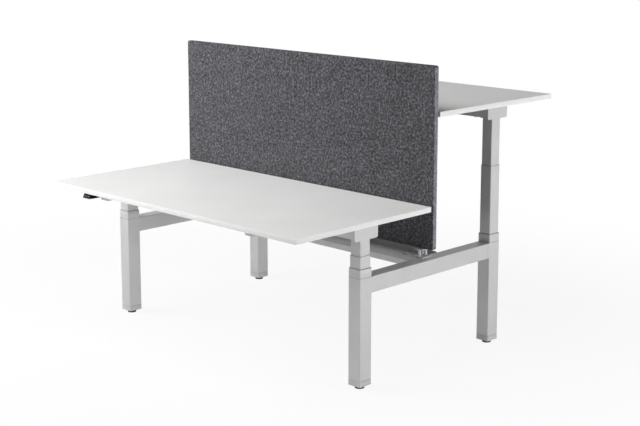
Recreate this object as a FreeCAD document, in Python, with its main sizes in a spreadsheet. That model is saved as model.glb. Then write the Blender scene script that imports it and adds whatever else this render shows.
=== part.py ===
import FreeCAD, Part
import math
import os
import re
import Sketcher

from FreeCAD import Placement, Rotation, Vector

# Two height-adjustable desks that stand back to back on one four-legged frame, with a felt screen
# between them. +Z is up, +X runs along the desks, -Y is the front desk's user side. The origin lies
# on the floor at the centre of the bench. Lengths are in millimetres.

doc = FreeCAD.newDocument("sit_stand_bench")

SIZES = {
    # Desk tops and working heights
    "desk_length": 1600,
    "desk_depth": 800,
    "top_thickness": 22,
    "top_corner_radius": 2,
    "desk_gap": 50,
    "lowest_height": 650,
    "front_raise": 54,
    "rear_raise": 455,
    # Lower frame
    "leg_width": 66,
    "leg_depth": 70,
    "leg_wall": 1.75,
    "leg_corner_radius": 4,
    "bore_cut": 1.3,
    "frame_inset": 4,
    "frame_top": 472,
    "crossbar_height": 69,
    "cap_bottom": 14,
    "cap_height": 24,
    "cap_plug_height": 12,
    "cap_cut": 2.3,
    "seam_depth": 1,
    "seam_height": 1.2,
    # Levelling feet
    "foot_radius": 20,
    "foot_pad_height": 6,
    "foot_stem_radius": 5,
    "foot_stem_reach": 28,
    "foot_nut_radius": 9.8,
    "thread_play": 0.05,
    # Telescopic columns
    "sleeve_play": 0.25,
    "column_wall": 1.2,
    "column_cut": 2,
    "tube_gap": 0.8,
    "running_play": 0.3,
    "collar_height": 38,
    "glide_height": 30,
    "lip_height": 1.2,
    "middle_show": 17,
    "stage_rest_gap": 8.2,
    "inner_rest_gap": 6.8,
    "lower_pitch": 9,
    "upper_pitch": 5,
    # Drive inside a column
    "fixed_screw_radius": 6,
    "screw_tip_gap": 4.7,
    "fixed_screw_base_width": 40,
    "fixed_screw_base_height": 5,
    "carrier_height": 10,
    "carrier_bore_radius": 7.4,
    "post_width": 34,
    "post_wall": 2.5,
    "post_height": 212,
    "nut_height": 35,
    "drive_nut_flange_radius": 14,
    "drive_nut_flange_height": 6,
    "drive_nut_sleeve_radius": 8.5,
    "drive_nut_length": 246,
    "lift_screw_radius": 13,
    "lift_screw_bore_play": 0.3,
    "lift_screw_head": 6,
    "journal_radius": 5,
    "journal_length": 12,
    "gearbox_height": 45,
    "gearbox_width": 44,
    "gearbox_cut": 4,
    "motor_width": 42,
    "motor_height": 85,
    "motor_flange_height": 4,
    # Heads and the frame under each top
    "head_width": 137,
    "head_height": 50,
    "head_sheet": 3,
    "head_flange_depth": 18,
    "head_flange_sheet": 2,
    "head_reach": 50,
    "head_bevel": 6,
    "head_proud": 1,
    "rail_height": 39,
    "rail_wall": 2,
    "rail_cut": 1.2,
    "rail_play": 1,
    "arm_inset": 318,
    "arm_setback": 50,
    "arm_depth": 28,
    "arm_bottom_width": 50,
    "arm_mouth_width": 62,
    "arm_flange": 10,
    "arm_sheet": 2,
    # Cable tray between the side frames
    "tray_width": 200,
    "tray_lip_height": 25,
    "tray_sheet": 2,
    "tray_rise": 3,
    "bolt_spacing": 120,
    "bolt_radius": 4,
    "bolt_hole_play": 0.25,
    "bolt_head_radius": 7,
    "bolt_head_height": 4,
    "bolt_reach": 12,
    "bolt_drop": 11,
    # Felt screen and its brackets
    "screen_bottom": 511,
    "screen_height": 791,
    "screen_thickness": 24,
    "screen_corner_radius": 10,
    "bracket_inset": 67,
    "bracket_length": 48,
    "bracket_depth": 60,
    "bracket_sheet": 4,
    "bracket_post_radius": 7.5,
    "bracket_post_spacing": 40,
    "bracket_head_height": 5,
    # Handset and control box
    "handset_inset": 248,
    "handset_width": 56,
    "handset_height": 22,
    "handset_depth": 60,
    "handset_wall": 2,
    "paddle_depth": 26,
    "paddle_lean": 10,
    "paddle_nose": 2,
    "paddle_play": 1.2,
    "paddle_pin_radius": 2,
    "paddle_pin_drop": 6,
    "box_length": 230,
    "box_depth": 110,
    "box_height": 38,
    "box_place": 90,
    "box_cut": 4,
    "socket_width": 16,
    "socket_height": 12,
    "socket_depth": 10,
    "socket_pitch": 24,
}

sheet = doc.addObject("Spreadsheet::Sheet", "Sizes")
for row, (alias, size) in enumerate(SIZES.items(), 1):
    sheet.set(f"A{row}", alias)
    sheet.set(f"B{row}", str(size))
    sheet.setAlias(f"B{row}", alias)
doc.recompute()

UP = Vector(0, 0, 1)
FULL_TURN = 360
HEX, GRIP_SIDES = 6, 20
HALF_TURN = 180
LEFT, RIGHT = -1, 1
FRONT, REAR = -1, 1
TOUCH = 1e-4


def linked(text):
    """Turn the names of sizes in a formula into references to the spreadsheet's cells."""
    return re.sub(r"[a-z]\w*", lambda m: f"Sizes.{m[0]}" if m[0] in SIZES else m[0], text)


def number(text):
    """The present value of a formula, which a sketch is drawn at before it is bound."""
    return float(sheet.evalExpression(linked(text)))


# Sizes that follow from the driving ones
LEG_X = "(desk_length / 2 - frame_inset - leg_width / 2)"
LEG_Y = "(desk_gap / 2 + desk_depth / 2)"
CAP_TOP = "(cap_bottom + cap_height)"
PLUG_TOP = f"({CAP_TOP} + cap_plug_height)"
STEP = "(2 * column_wall + 2 * tube_gap)"
OUTER_WIDTH = "(leg_width - 2 * leg_wall - 2 * sleeve_play)"
OUTER_DEPTH = "(leg_depth - 2 * leg_wall - 2 * sleeve_play)"
MIDDLE_WIDTH = f"({OUTER_WIDTH} - {STEP})"
MIDDLE_DEPTH = f"({OUTER_DEPTH} - {STEP})"
INNER_WIDTH = f"({MIDDLE_WIDTH} - {STEP})"
INNER_DEPTH = f"({MIDDLE_DEPTH} - {STEP})"
OUTER_TOP = "(frame_top + collar_height)"
LOWER_SHARE = "(lower_pitch / (lower_pitch + upper_pitch))"
CROSSBAR_LENGTH = f"(2 * {LEG_Y} - leg_depth)"
TRAY_LENGTH = f"(2 * {LEG_X} - leg_width)"
TRAY_FLOOR = "(tray_rise - tray_lip_height)"
RAIL_WIDTH = f"(head_width / 2 - head_flange_sheet - {INNER_DEPTH} / 2 - rail_play)"
RAIL_Y = f"({INNER_DEPTH} / 2 + rail_play + {RAIL_WIDTH} / 2)"
RAIL_OUTSIDE = f"({RAIL_Y} + {RAIL_WIDTH} / 2)"
HEAD_FACE = "(leg_width / 2 + head_proud)"
HANDSET_X = "(desk_length / 2 - handset_inset)"
PADDLE_PIN_Y = "(-desk_depth / 2 + paddle_lean + paddle_depth / 2)"
RAIL_LENGTH = f"(2 * ({LEG_X} + {HEAD_FACE} - head_sheet))"
LIFT_SCREW_BORE = "(drive_nut_sleeve_radius + lift_screw_bore_play)"


# Lengths that fill the columns when they are all the way down
MIDDLE_DOWN_TOP = f"({OUTER_TOP} + lip_height + middle_show)"
MIDDLE_DOWN_BOTTOM = f"({PLUG_TOP} + stage_rest_gap)"
MIDDLE_LENGTH = f"({MIDDLE_DOWN_TOP} - {MIDDLE_DOWN_BOTTOM})"
INNER_DOWN_TOP = "(lowest_height - top_thickness - head_sheet)"
INNER_LENGTH = f"({INNER_DOWN_TOP} - {MIDDLE_DOWN_BOTTOM} - carrier_height - inner_rest_gap)"
MOTOR_HANG = "(head_sheet + motor_flange_height + motor_height + gearbox_height)"
LIFT_SCREW_DOWN_TOP = f"(lowest_height - top_thickness - {MOTOR_HANG} - running_play)"
LIFT_SCREW_LENGTH = (f"({LIFT_SCREW_DOWN_TOP} - {MIDDLE_DOWN_BOTTOM} - carrier_height"
                     " - drive_nut_flange_height - screw_tip_gap)")
FIXED_SCREW_LENGTH = f"({LIFT_SCREW_DOWN_TOP} - lift_screw_head - screw_tip_gap - {PLUG_TOP})"

# Where the two desks stand now, counted from their lowest place
RAISES = {FRONT: "front_raise", REAR: "rear_raise"}


def desk_underside(row):
    return f"(lowest_height + {RAISES[row]} - top_thickness)"


def middle_bottom(row):
    """The middle stage climbs its screw's share of the way that the desk has come up."""
    return f"({MIDDLE_DOWN_BOTTOM} + {RAISES[row]} * {LOWER_SHARE})"


def new_body(label):
    body = doc.addObject("PartDesign::Body", label)
    body.Label = label
    return body


def place(thing, x, y, z, turn=0):
    """Put a body at a place given by formulas, turned about the vertical."""
    thing.Placement = Placement(Vector(), Rotation(UP, turn))
    for axis, text in zip("xyz", (x, y, z)):
        thing.setExpression(f"Placement.Base.{axis}", linked(text))


def new_sketch(body, role="XY_Plane", height=None):
    """A sketch on one of the body's origin planes, raised along its normal by a formula."""
    sketch = body.newObject("Sketcher::SketchObject", f"{body.Name}_sketch")
    plane = next(item for item in body.Origin.OriginFeatures if item.Role == role)
    sketch.AttachmentSupport = [(plane, "")]
    sketch.MapMode = "FlatFace"
    if height is not None:
        sketch.setExpression("AttachmentOffset.Base.z", linked(height))
    return sketch


def bind(sketch, constraint, text):
    """Add a driving dimension and bind it to a formula."""
    index = sketch.addConstraint(constraint)
    name = f"size_{index}"
    sketch.renameConstraint(index, name)
    sketch.setExpression(f"Constraints.{name}", linked(text))


def fix_point(sketch, geometry, point, x, y):
    """Hold a point at two formulas from the sketch's origin."""
    for kind, axis, text in (("DistanceX", -2, x), ("DistanceY", -1, y)):
        if text == "0":
            sketch.addConstraint(Sketcher.Constraint("PointOnObject", geometry, point, axis))
        else:
            bind(sketch, Sketcher.Constraint(kind, -1, 1, geometry, point, number(text)), text)


def polygon(sketch, corners):
    """A closed outline of straight lines through corners given by formulas."""
    spots = [Vector(number(x), number(y), 0) for x, y in corners]
    lines = [sketch.addGeometry(Part.LineSegment(start, end), False)
             for start, end in zip(spots, spots[1:] + spots[:1])]
    for line, after in zip(lines, lines[1:] + lines[:1]):
        sketch.addConstraint(Sketcher.Constraint("Coincident", line, 2, after, 1))
    for line, (x, y) in zip(lines, corners):
        fix_point(sketch, line, 1, x, y)


def rectangle(sketch, left, right, bottom, top):
    polygon(sketch, [(left, bottom), (right, bottom), (right, top), (left, top)])


def rounded_rectangle(sketch, width, depth, radius, centre_y="0"):
    """A rectangle about the vertical axis with four equal round corners."""
    half_x, half_y, bend, middle = number(width) / 2, number(depth) / 2, number(radius), number(centre_y)
    in_x, in_y = half_x - bend, half_y - bend
    sides = [((-in_x, -half_y), (in_x, -half_y)), ((half_x, -in_y), (half_x, in_y)),
             ((in_x, half_y), (-in_x, half_y)), ((-half_x, in_y), (-half_x, -in_y))]
    centres = [(in_x, -in_y), (in_x, in_y), (-in_x, in_y), (-in_x, -in_y)]
    lines, arcs = [], []
    for number_of_side, (start, end) in enumerate(sides):
        edge = Part.LineSegment(Vector(start[0], start[1] + middle, 0), Vector(end[0], end[1] + middle, 0))
        lines.append(sketch.addGeometry(edge, False))
        centre = Vector(centres[number_of_side][0], centres[number_of_side][1] + middle, 0)
        first = (number_of_side - 1) * math.pi / 2
        circle = Part.Circle(centre, UP, bend)
        arcs.append(sketch.addGeometry(Part.ArcOfCircle(circle, first, first + math.pi / 2), False))
    for side in range(len(lines)):
        following = lines[(side + 1) % len(lines)]
        sketch.addConstraint(Sketcher.Constraint("Tangent", lines[side], 2, arcs[side], 1))
        sketch.addConstraint(Sketcher.Constraint("Tangent", arcs[side], 2, following, 1))
        direction = "Horizontal" if side % 2 == 0 else "Vertical"
        sketch.addConstraint(Sketcher.Constraint(direction, lines[side]))
    for arc in arcs[1:]:
        sketch.addConstraint(Sketcher.Constraint("Equal", arcs[0], arc))
    bind(sketch, Sketcher.Constraint("Radius", arcs[0], bend), radius)
    bind(sketch, Sketcher.Constraint("DistanceX", lines[3], 1, lines[1], 1, 2 * half_x), width)
    bind(sketch, Sketcher.Constraint("DistanceY", lines[0], 1, lines[2], 1, 2 * half_y), depth)
    fix_point(sketch, arcs[1], 3, f"{width} / 2 - {radius}", f"{centre_y} + {depth} / 2 - {radius}")


def cut_rectangle(sketch, width, depth, cut, centre_y="0"):
    """A rectangle about the vertical axis with four equal cut corners."""
    right, top, bottom = f"{width} / 2", f"{centre_y} + {depth} / 2", f"{centre_y} - {depth} / 2"
    polygon(sketch, [(f"{right} - {cut}", bottom), (right, f"{bottom} + {cut}"),
                     (right, f"{top} - {cut}"), (f"{right} - {cut}", top),
                     (f"{cut} - {right}", top), (f"-{right}", f"{top} - {cut}"),
                     (f"-{right}", f"{bottom} + {cut}"), (f"{cut} - {right}", bottom)])


def regular_polygon(sketch, radius, sides):
    corners = []
    for corner in range(sides):
        turn = 2 * math.pi * corner / sides
        corners.append(tuple(f"{radius} * ({part:.6f})" if abs(part) > TOUCH else "0"
                             for part in (math.cos(turn), math.sin(turn))))
    polygon(sketch, corners)


def circle(sketch, radius, x="0", y="0"):
    spot = Vector(number(x), number(y), 0)
    ring = sketch.addGeometry(Part.Circle(spot, UP, number(radius)), False)
    bind(sketch, Sketcher.Constraint("Radius", ring, number(radius)), radius)
    fix_point(sketch, ring, 3, x, y)


def pad(body, sketch, length, midplane=False, reverse=False):
    feature = body.newObject("PartDesign::Pad", f"{body.Name}_pad")
    feature.Profile = sketch
    feature.setExpression("Length", linked(length))
    feature.Midplane = midplane
    feature.Reversed = reverse
    doc.recompute()
    return feature


def pocket(body, sketch, depth, midplane=False, reverse=False):
    """Cut a sketch into the body, and make sure that something was cut."""
    before = body.Shape.Volume
    feature = body.newObject("PartDesign::Pocket", f"{body.Name}_pocket")
    feature.Profile = sketch
    feature.setExpression("Length", linked(depth))
    feature.Midplane = midplane
    feature.Reversed = reverse
    doc.recompute()
    if body.Shape.Volume >= before:
        raise RuntimeError(f"the pocket in {body.Label} cuts nothing")
    return feature


def group(label, bodies):
    """One sub-part made of several separate solids."""
    compound = doc.addObject("Part::Compound", label)
    compound.Label = label
    compound.Links = bodies
    return compound


kept = []


def keep(thing):
    kept.append(thing)
    return thing


def leg_tube(label):
    body = new_body(label)
    sketch = new_sketch(body)
    rounded_rectangle(sketch, "leg_width", "leg_depth", "leg_corner_radius")
    cut_rectangle(sketch, "(leg_width - 2 * leg_wall)", "(leg_depth - 2 * leg_wall)", "bore_cut")
    pad(body, sketch, f"(frame_top - {CAP_TOP})")
    return body


def column_tube(label, width, depth, length):
    """One of the nested tubes of a column."""
    body = new_body(label)
    sketch = new_sketch(body)
    cut_rectangle(sketch, width, depth, "column_cut")
    cut_rectangle(sketch, f"({width} - 2 * column_wall)", f"({depth} - 2 * column_wall)", "bore_cut")
    pad(body, sketch, length)
    return body


# Lower frame: four leg tubes and two crossbars, cut square and welded

def crossbar(label):
    """The tube that joins a front and a rear leg, with two bolt holes in its inner wall."""
    body = new_body(label)
    sketch = new_sketch(body, "XZ_Plane")
    rounded_rectangle(sketch, "leg_width", "crossbar_height", "leg_corner_radius", "-crossbar_height / 2")
    cut_rectangle(sketch, "(leg_width - 2 * leg_wall)", "(crossbar_height - 2 * leg_wall)",
                  "bore_cut", "-crossbar_height / 2")
    pad(body, sketch, CROSSBAR_LENGTH, midplane=True)
    holes = new_sketch(body, "YZ_Plane")
    for side in ("", "-"):
        circle(holes, "(bolt_radius + bolt_hole_play)", f"{side}bolt_spacing / 2", "-bolt_drop")
    pocket(body, holes, "leg_width")
    return body


def foot_cap(label):
    """The moulded cap that closes a leg: a block as wide as the leg, a seam and a plug in the tube."""
    body = new_body(label)
    block = new_sketch(body)
    cut_rectangle(block, "leg_width", "leg_depth", "cap_cut")
    circle(block, "(foot_stem_radius + thread_play)")
    pad(body, block, "(cap_height - seam_height)")
    seam = new_sketch(body, height="cap_height - seam_height")
    cut_rectangle(seam, "(leg_width - 2 * seam_depth)", "(leg_depth - 2 * seam_depth)", "cap_cut")
    circle(seam, "(foot_stem_radius + thread_play)")
    pad(body, seam, "seam_height")
    plug = new_sketch(body, height="cap_height")
    cut_rectangle(plug, OUTER_WIDTH, OUTER_DEPTH, "bore_cut")
    circle(plug, "(foot_stem_radius + thread_play)")
    pad(body, plug, "cap_plug_height")
    return body


def levelling_foot(label):
    """A pad with grip facets, a lock nut and a threaded stem that screws into the cap."""
    body = new_body(label)
    base = new_sketch(body)
    regular_polygon(base, "foot_radius", GRIP_SIDES)
    pad(body, base, "foot_pad_height")
    nut = new_sketch(body, height="foot_pad_height")
    regular_polygon(nut, "foot_nut_radius", HEX)
    pad(body, nut, "(cap_bottom - foot_pad_height)")
    stem = new_sketch(body, height="cap_bottom")
    circle(stem, "foot_stem_radius")
    pad(body, stem, "foot_stem_reach")
    return body


# Telescopic columns

def glide(label, width, depth):
    """The moulded sleeve pressed into a tube's mouth, with a lip that covers the tube's end."""
    body = new_body(label)
    bore_width, bore_depth = f"({width} - 2 * column_wall)", f"({depth} - 2 * column_wall)"
    slide_width = f"({width} - {STEP} + 2 * running_play)"
    slide_depth = f"({depth} - {STEP} + 2 * running_play)"
    sleeve = new_sketch(body, height="-glide_height")
    cut_rectangle(sleeve, bore_width, bore_depth, "bore_cut")
    cut_rectangle(sleeve, slide_width, slide_depth, "bore_cut")
    pad(body, sleeve, "glide_height")
    lip = new_sketch(body)
    cut_rectangle(lip, width, depth, "column_cut")
    cut_rectangle(lip, slide_width, slide_depth, "bore_cut")
    pad(body, lip, "lip_height")
    return body


def fixed_screw(label):
    """The threaded rod that stands on the foot cap and never turns."""
    body = new_body(label)
    base = new_sketch(body)
    half = "fixed_screw_base_width / 2"
    rectangle(base, f"-{half}", half, f"-{half}", half)
    pad(body, base, "fixed_screw_base_height")
    rod = new_sketch(body, height="fixed_screw_base_height")
    circle(rod, "fixed_screw_radius")
    pad(body, rod, f"({FIXED_SCREW_LENGTH} - fixed_screw_base_height)")
    return body


def nut_carrier(label):
    """The plug in the middle tube's lower end, with a post that holds the upper nut."""
    body = new_body(label)
    plate = new_sketch(body)
    cut_rectangle(plate, f"({MIDDLE_WIDTH} - 2 * column_wall)", f"({MIDDLE_DEPTH} - 2 * column_wall)",
                  "bore_cut")
    regular_polygon(plate, "carrier_bore_radius", HEX)
    pad(body, plate, "carrier_height")
    post = new_sketch(body, height="carrier_height")
    outside, inside = "post_width / 2", "(post_width / 2 - post_wall)"
    rectangle(post, f"-{outside}", outside, f"-{outside}", outside)
    rectangle(post, f"-{inside}", inside, f"-{inside}", inside)
    pad(body, post, "post_height")
    nut = new_sketch(body, height="carrier_height + post_height")
    rectangle(nut, f"-{outside}", outside, f"-{outside}", outside)
    circle(nut, "(lift_screw_radius + thread_play)")
    pad(body, nut, "nut_height")
    return body


def drive_nut(label):
    """The turning nut that climbs the fixed screw, with the long hexagonal sleeve that turns it."""
    body = new_body(label)
    flange = "drive_nut_flange_height"
    for radius, bottom, height in (("drive_nut_flange_radius", "0", flange),
                                   ("drive_nut_sleeve_radius", flange, f"(drive_nut_length - {flange})")):
        step = new_sketch(body, height=bottom)
        regular_polygon(step, radius, HEX)
        circle(step, "(fixed_screw_radius + thread_play)")
        pad(body, step, height)
    return body


def lift_screw(label):
    """The hollow screw that the gearbox turns, with a hexagonal bore over the nut's sleeve."""
    body = new_body(label)
    shank = new_sketch(body)
    circle(shank, "lift_screw_radius")
    regular_polygon(shank, LIFT_SCREW_BORE, HEX)
    pad(body, shank, f"({LIFT_SCREW_LENGTH} - lift_screw_head)")
    head = new_sketch(body, height=f"{LIFT_SCREW_LENGTH} - lift_screw_head")
    circle(head, "lift_screw_radius")
    pad(body, head, "lift_screw_head")
    journal = new_sketch(body, height=LIFT_SCREW_LENGTH)
    regular_polygon(journal, "journal_radius", HEX)
    pad(body, journal, "journal_length")
    return body


def drive_motor(label):
    """Gearbox and motor in the inner tube's upper end, hung from a flange that fits the tube."""
    body = new_body(label)
    gearbox = new_sketch(body)
    cut_rectangle(gearbox, "gearbox_width", "gearbox_width", "gearbox_cut")
    circle(gearbox, "(journal_radius + thread_play)")
    pad(body, gearbox, "gearbox_height")
    motor = new_sketch(body, height="gearbox_height")
    cut_rectangle(motor, "motor_width", "motor_width", "2 * gearbox_cut")
    pad(body, motor, "motor_height")
    flange = new_sketch(body, height="gearbox_height + motor_height")
    cut_rectangle(flange, f"({INNER_WIDTH} - 2 * column_wall)", f"({INNER_DEPTH} - 2 * column_wall)",
                  "bore_cut")
    pad(body, flange, "motor_flange_height")
    return body


def column_head(label):
    """The folded bracket on top of a column: top plate, end plate and two flanges over the rails."""
    body = new_body(label)
    end = new_sketch(body, "YZ_Plane", f"{HEAD_FACE} - head_sheet")
    half = "head_width / 2"
    polygon(end, [(f"-{half}", "0"), (f"-{half}", "-head_height + head_bevel"),
                  (f"-{half} + head_bevel", "-head_height"), (f"{half} - head_bevel", "-head_height"),
                  (half, "-head_height + head_bevel"), (half, "0")])
    pad(body, end, "head_sheet")
    plate = new_sketch(body, height="-head_sheet")
    rectangle(plate, "-head_reach", f"{HEAD_FACE} - head_sheet", f"-{half}", half)
    pad(body, plate, "head_sheet")
    for side in ("", "-"):
        inner = f"{side}(head_width / 2 - head_flange_sheet)"
        flange = new_sketch(body, height="-head_height + head_bevel")
        rectangle(flange, f"{HEAD_FACE} - head_flange_depth", f"{HEAD_FACE} - head_sheet",
                  inner, f"{side}head_width / 2")
        pad(body, flange, "(head_height - head_bevel - head_sheet)")
    return body


# Frame under a top

def rail(label):
    body = new_body(label)
    sketch = new_sketch(body, "YZ_Plane")
    middle = "-head_sheet - rail_height / 2"
    cut_rectangle(sketch, RAIL_WIDTH, "rail_height", "rail_cut", middle)
    cut_rectangle(sketch, f"({RAIL_WIDTH} - 2 * rail_wall)", "(rail_height - 2 * rail_wall)",
                  "rail_cut / 2", middle)
    pad(body, sketch, RAIL_LENGTH, midplane=True)
    return body


def arm(label):
    """A folded channel that carries the top between a rail and the edge, open side up."""
    body = new_body(label)
    sketch = new_sketch(body, "XZ_Plane")
    bottom, mouth = "arm_bottom_width / 2", "arm_mouth_width / 2"
    flange = f"({mouth} + arm_flange)"
    inside = [("arm_bottom_width / 2 - arm_sheet", "-arm_depth + arm_sheet"),
              ("arm_mouth_width / 2 - arm_sheet", "0")]
    outside = [(flange, "0"), (flange, "-arm_sheet"), (mouth, "-arm_sheet"), (bottom, "-arm_depth")]
    right = [inside[0], inside[1]] + outside
    left = [(f"-({x})", z) for x, z in reversed(right)]
    polygon(sketch, right + left)
    pad(body, sketch, f"(desk_depth / 2 - arm_setback - {RAIL_OUTSIDE})")
    return body


# Cable tray

def tray_floor(label):
    """The sheet between the crossbars that carries the cables."""
    body = new_body(label)
    sketch = new_sketch(body, height=TRAY_FLOOR)
    half = f"{TRAY_LENGTH} / 2"
    rectangle(sketch, f"-{half}", half, "-tray_width / 2", "tray_width / 2")
    pad(body, sketch, "tray_sheet")
    return body


def tray_side(label):
    """A flat wall welded along the floor's edge."""
    body = new_body(label)
    sketch = new_sketch(body, "YZ_Plane")
    rectangle(sketch, "tray_width / 2 - tray_sheet", "tray_width / 2",
              f"{TRAY_FLOOR} + tray_sheet", "tray_rise")
    pad(body, sketch, TRAY_LENGTH, midplane=True)
    return body


def tray_end(label):
    """The wall between the two sides that is bolted to a crossbar."""
    body = new_body(label)
    sketch = new_sketch(body, "YZ_Plane", f"{TRAY_LENGTH} / 2 - tray_sheet")
    half = "(tray_width / 2 - tray_sheet)"
    rectangle(sketch, f"-{half}", half, f"{TRAY_FLOOR} + tray_sheet", "0")
    for hole in ("-bolt_spacing / 2", "bolt_spacing / 2"):
        circle(sketch, "(bolt_radius + bolt_hole_play)", hole, "-bolt_drop")
    pad(body, sketch, "tray_sheet")
    return body


def frame_bolt(label):
    """A bolt along X, its head inside the tray's end and its shank through the crossbar's wall."""
    body = new_body(label)
    head = new_sketch(body, "YZ_Plane")
    regular_polygon(head, "bolt_head_radius", HEX)
    pad(body, head, "bolt_head_height", reverse=True)
    shank = new_sketch(body, "YZ_Plane")
    circle(shank, "bolt_radius")
    pad(body, shank, "bolt_reach")
    return body


# Felt screen

def privacy_screen(label):
    body = new_body(label)
    sketch = new_sketch(body, "XZ_Plane")
    rounded_rectangle(sketch, "desk_length", "screen_height", "screen_corner_radius", "screen_height / 2")
    pad(body, sketch, "screen_thickness", midplane=True)
    return body


def screen_bracket(label):
    """Base plate on the crossbar, two round posts, and a top plate under the screen."""
    body = new_body(label)
    base = new_sketch(body)
    half = "bracket_length / 2"
    rectangle(base, f"-{half}", half, "-bracket_depth / 2", "bracket_depth / 2")
    pad(body, base, "bracket_sheet")
    rise = "(screen_bottom - frame_top)"
    for side in ("", "-"):
        post = new_sketch(body, height="bracket_sheet")
        circle(post, "bracket_post_radius", "0", f"{side}bracket_post_spacing / 2")
        pad(body, post, f"({rise} - bracket_sheet - bracket_head_height)")
    top = new_sketch(body, height=f"{rise} - bracket_head_height")
    grip = "(bracket_post_spacing / 2 + bracket_post_radius + bracket_sheet / 2)"
    rectangle(top, f"-{half}", half, f"-{grip}", grip)
    pad(body, top, "bracket_head_height")
    return body


# Desk top, handset and control box

def desk_top(label):
    body = new_body(label)
    sketch = new_sketch(body)
    rounded_rectangle(sketch, "desk_length", "desk_depth", "top_corner_radius")
    pad(body, sketch, "top_thickness")
    return body


def handset_base(label):
    """The housing under the front edge, open at the front where the paddle tilts."""
    body = new_body(label)
    front = "-desk_depth / 2"
    back = "-desk_depth / 2 + paddle_nose + handset_depth"
    block = new_sketch(body, height="-handset_height")
    rectangle(block, "-handset_width / 2", "handset_width / 2", f"{front} + paddle_lean", back)
    pad(body, block, "handset_height")
    mouth = new_sketch(body, height="-handset_height")
    rectangle(mouth, "-handset_width / 2 + handset_wall", "handset_width / 2 - handset_wall",
              f"{front}", f"{front} + paddle_lean + paddle_depth")
    pocket(body, mouth, "(handset_height - handset_wall)", reverse=True)
    pins = new_sketch(body, "YZ_Plane", "-handset_width / 2 + handset_wall / 2")
    circle(pins, "paddle_pin_radius", PADDLE_PIN_Y, "-paddle_pin_drop - handset_wall")
    pad(body, pins, "(handset_width - handset_wall)")
    return body


def paddle(label):
    """The rocking key: a wedge in front, and a web that turns on the housing's pin."""
    body = new_body(label)
    front = "-desk_depth / 2"
    sketch = new_sketch(body, "YZ_Plane")
    top = "-handset_wall - paddle_play"
    bottom = "-handset_height"
    polygon(sketch, [(f"{front} + paddle_lean - paddle_nose", top), (f"{front} - paddle_nose", bottom),
                     (f"{front} + paddle_lean + paddle_depth - 2 * paddle_play", bottom),
                     (f"{front} + paddle_lean + paddle_depth - 2 * paddle_play", f"{top} - paddle_play"),
                     (f"{front} + paddle_lean + paddle_depth / 2", top)])
    circle(sketch, "(paddle_pin_radius + thread_play)", PADDLE_PIN_Y, "-paddle_pin_drop - handset_wall")
    pad(body, sketch, "(handset_width - 2 * handset_wall - 2 * paddle_play)", midplane=True)
    return body


def control_box(label):
    """The control box under a top, with sockets for the mains, the motors and the handset."""
    body = new_body(label)
    block = new_sketch(body, height="-box_height")
    cut_rectangle(block, "box_length", "box_depth", "box_cut")
    pad(body, block, "box_height")
    sockets = new_sketch(body, "YZ_Plane", "box_length / 2")
    for step in range(-1, 2):
        middle = f"{step} * socket_pitch"
        rectangle(sockets, f"{middle} - socket_width / 2", f"{middle} + socket_width / 2",
                  "-box_height / 2 - socket_height / 2", "-box_height / 2 + socket_height / 2")
    pocket(body, sockets, "socket_depth")
    return body


# Assembly of the standing frame

LEGS = {"front_left": (LEFT, FRONT), "front_right": (RIGHT, FRONT),
        "rear_left": (LEFT, REAR), "rear_right": (RIGHT, REAR)}
caps, outer_glides, fixed_screws = [], [], []

for leg, (side, row) in LEGS.items():
    x, y = f"{side} * {LEG_X}", f"{row} * {LEG_Y}"
    turn = 0 if side == RIGHT else HALF_TURN
    outside = keep(leg_tube(f"{leg}_leg_tube"))
    place(outside, x, y, CAP_TOP)
    caps.append(foot_cap(f"{leg}_cap"))
    place(caps[-1], x, y, "cap_bottom")
    foot = keep(levelling_foot(f"{leg}_levelling_foot"))
    place(foot, x, y, "0")
    outer = keep(column_tube(f"{leg}_outer_tube", OUTER_WIDTH, OUTER_DEPTH, f"({OUTER_TOP} - {PLUG_TOP})"))
    place(outer, x, y, PLUG_TOP)
    outer_glides.append(glide(f"{leg}_outer_glide", OUTER_WIDTH, OUTER_DEPTH))
    place(outer_glides[-1], x, y, OUTER_TOP)
    fixed_screws.append(fixed_screw(f"{leg}_fixed_screw"))
    place(fixed_screws[-1], x, y, PLUG_TOP)

    stage_bottom, underside = middle_bottom(row), desk_underside(row)
    middle = keep(column_tube(f"{leg}_middle_tube", MIDDLE_WIDTH, MIDDLE_DEPTH, MIDDLE_LENGTH))
    place(middle, x, y, stage_bottom)
    carrier = nut_carrier(f"{leg}_nut_carrier")
    place(carrier, x, y, stage_bottom)
    middle_glide = glide(f"{leg}_middle_glide", MIDDLE_WIDTH, MIDDLE_DEPTH)
    place(middle_glide, x, y, f"{stage_bottom} + {MIDDLE_LENGTH}")
    keep(group(f"{leg}_stage_fittings", [carrier, middle_glide]))
    turning_nut = keep(drive_nut(f"{leg}_drive_nut"))
    place(turning_nut, x, y, f"{stage_bottom} + carrier_height")

    inner = keep(column_tube(f"{leg}_inner_tube", INNER_WIDTH, INNER_DEPTH, INNER_LENGTH))
    place(inner, x, y, f"{underside} - head_sheet - {INNER_LENGTH}")
    motor = keep(drive_motor(f"{leg}_motor"))
    place(motor, x, y, f"{underside} - {MOTOR_HANG}", turn)
    screw = keep(lift_screw(f"{leg}_lift_screw"))
    place(screw, x, y, f"{underside} - {MOTOR_HANG} - running_play - {LIFT_SCREW_LENGTH}")
    head = keep(column_head(f"{leg}_head"))
    place(head, x, y, underside, turn)

keep(group("foot_caps", caps))
keep(group("outer_glides", outer_glides))
keep(group("fixed_screws", fixed_screws))

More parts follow.
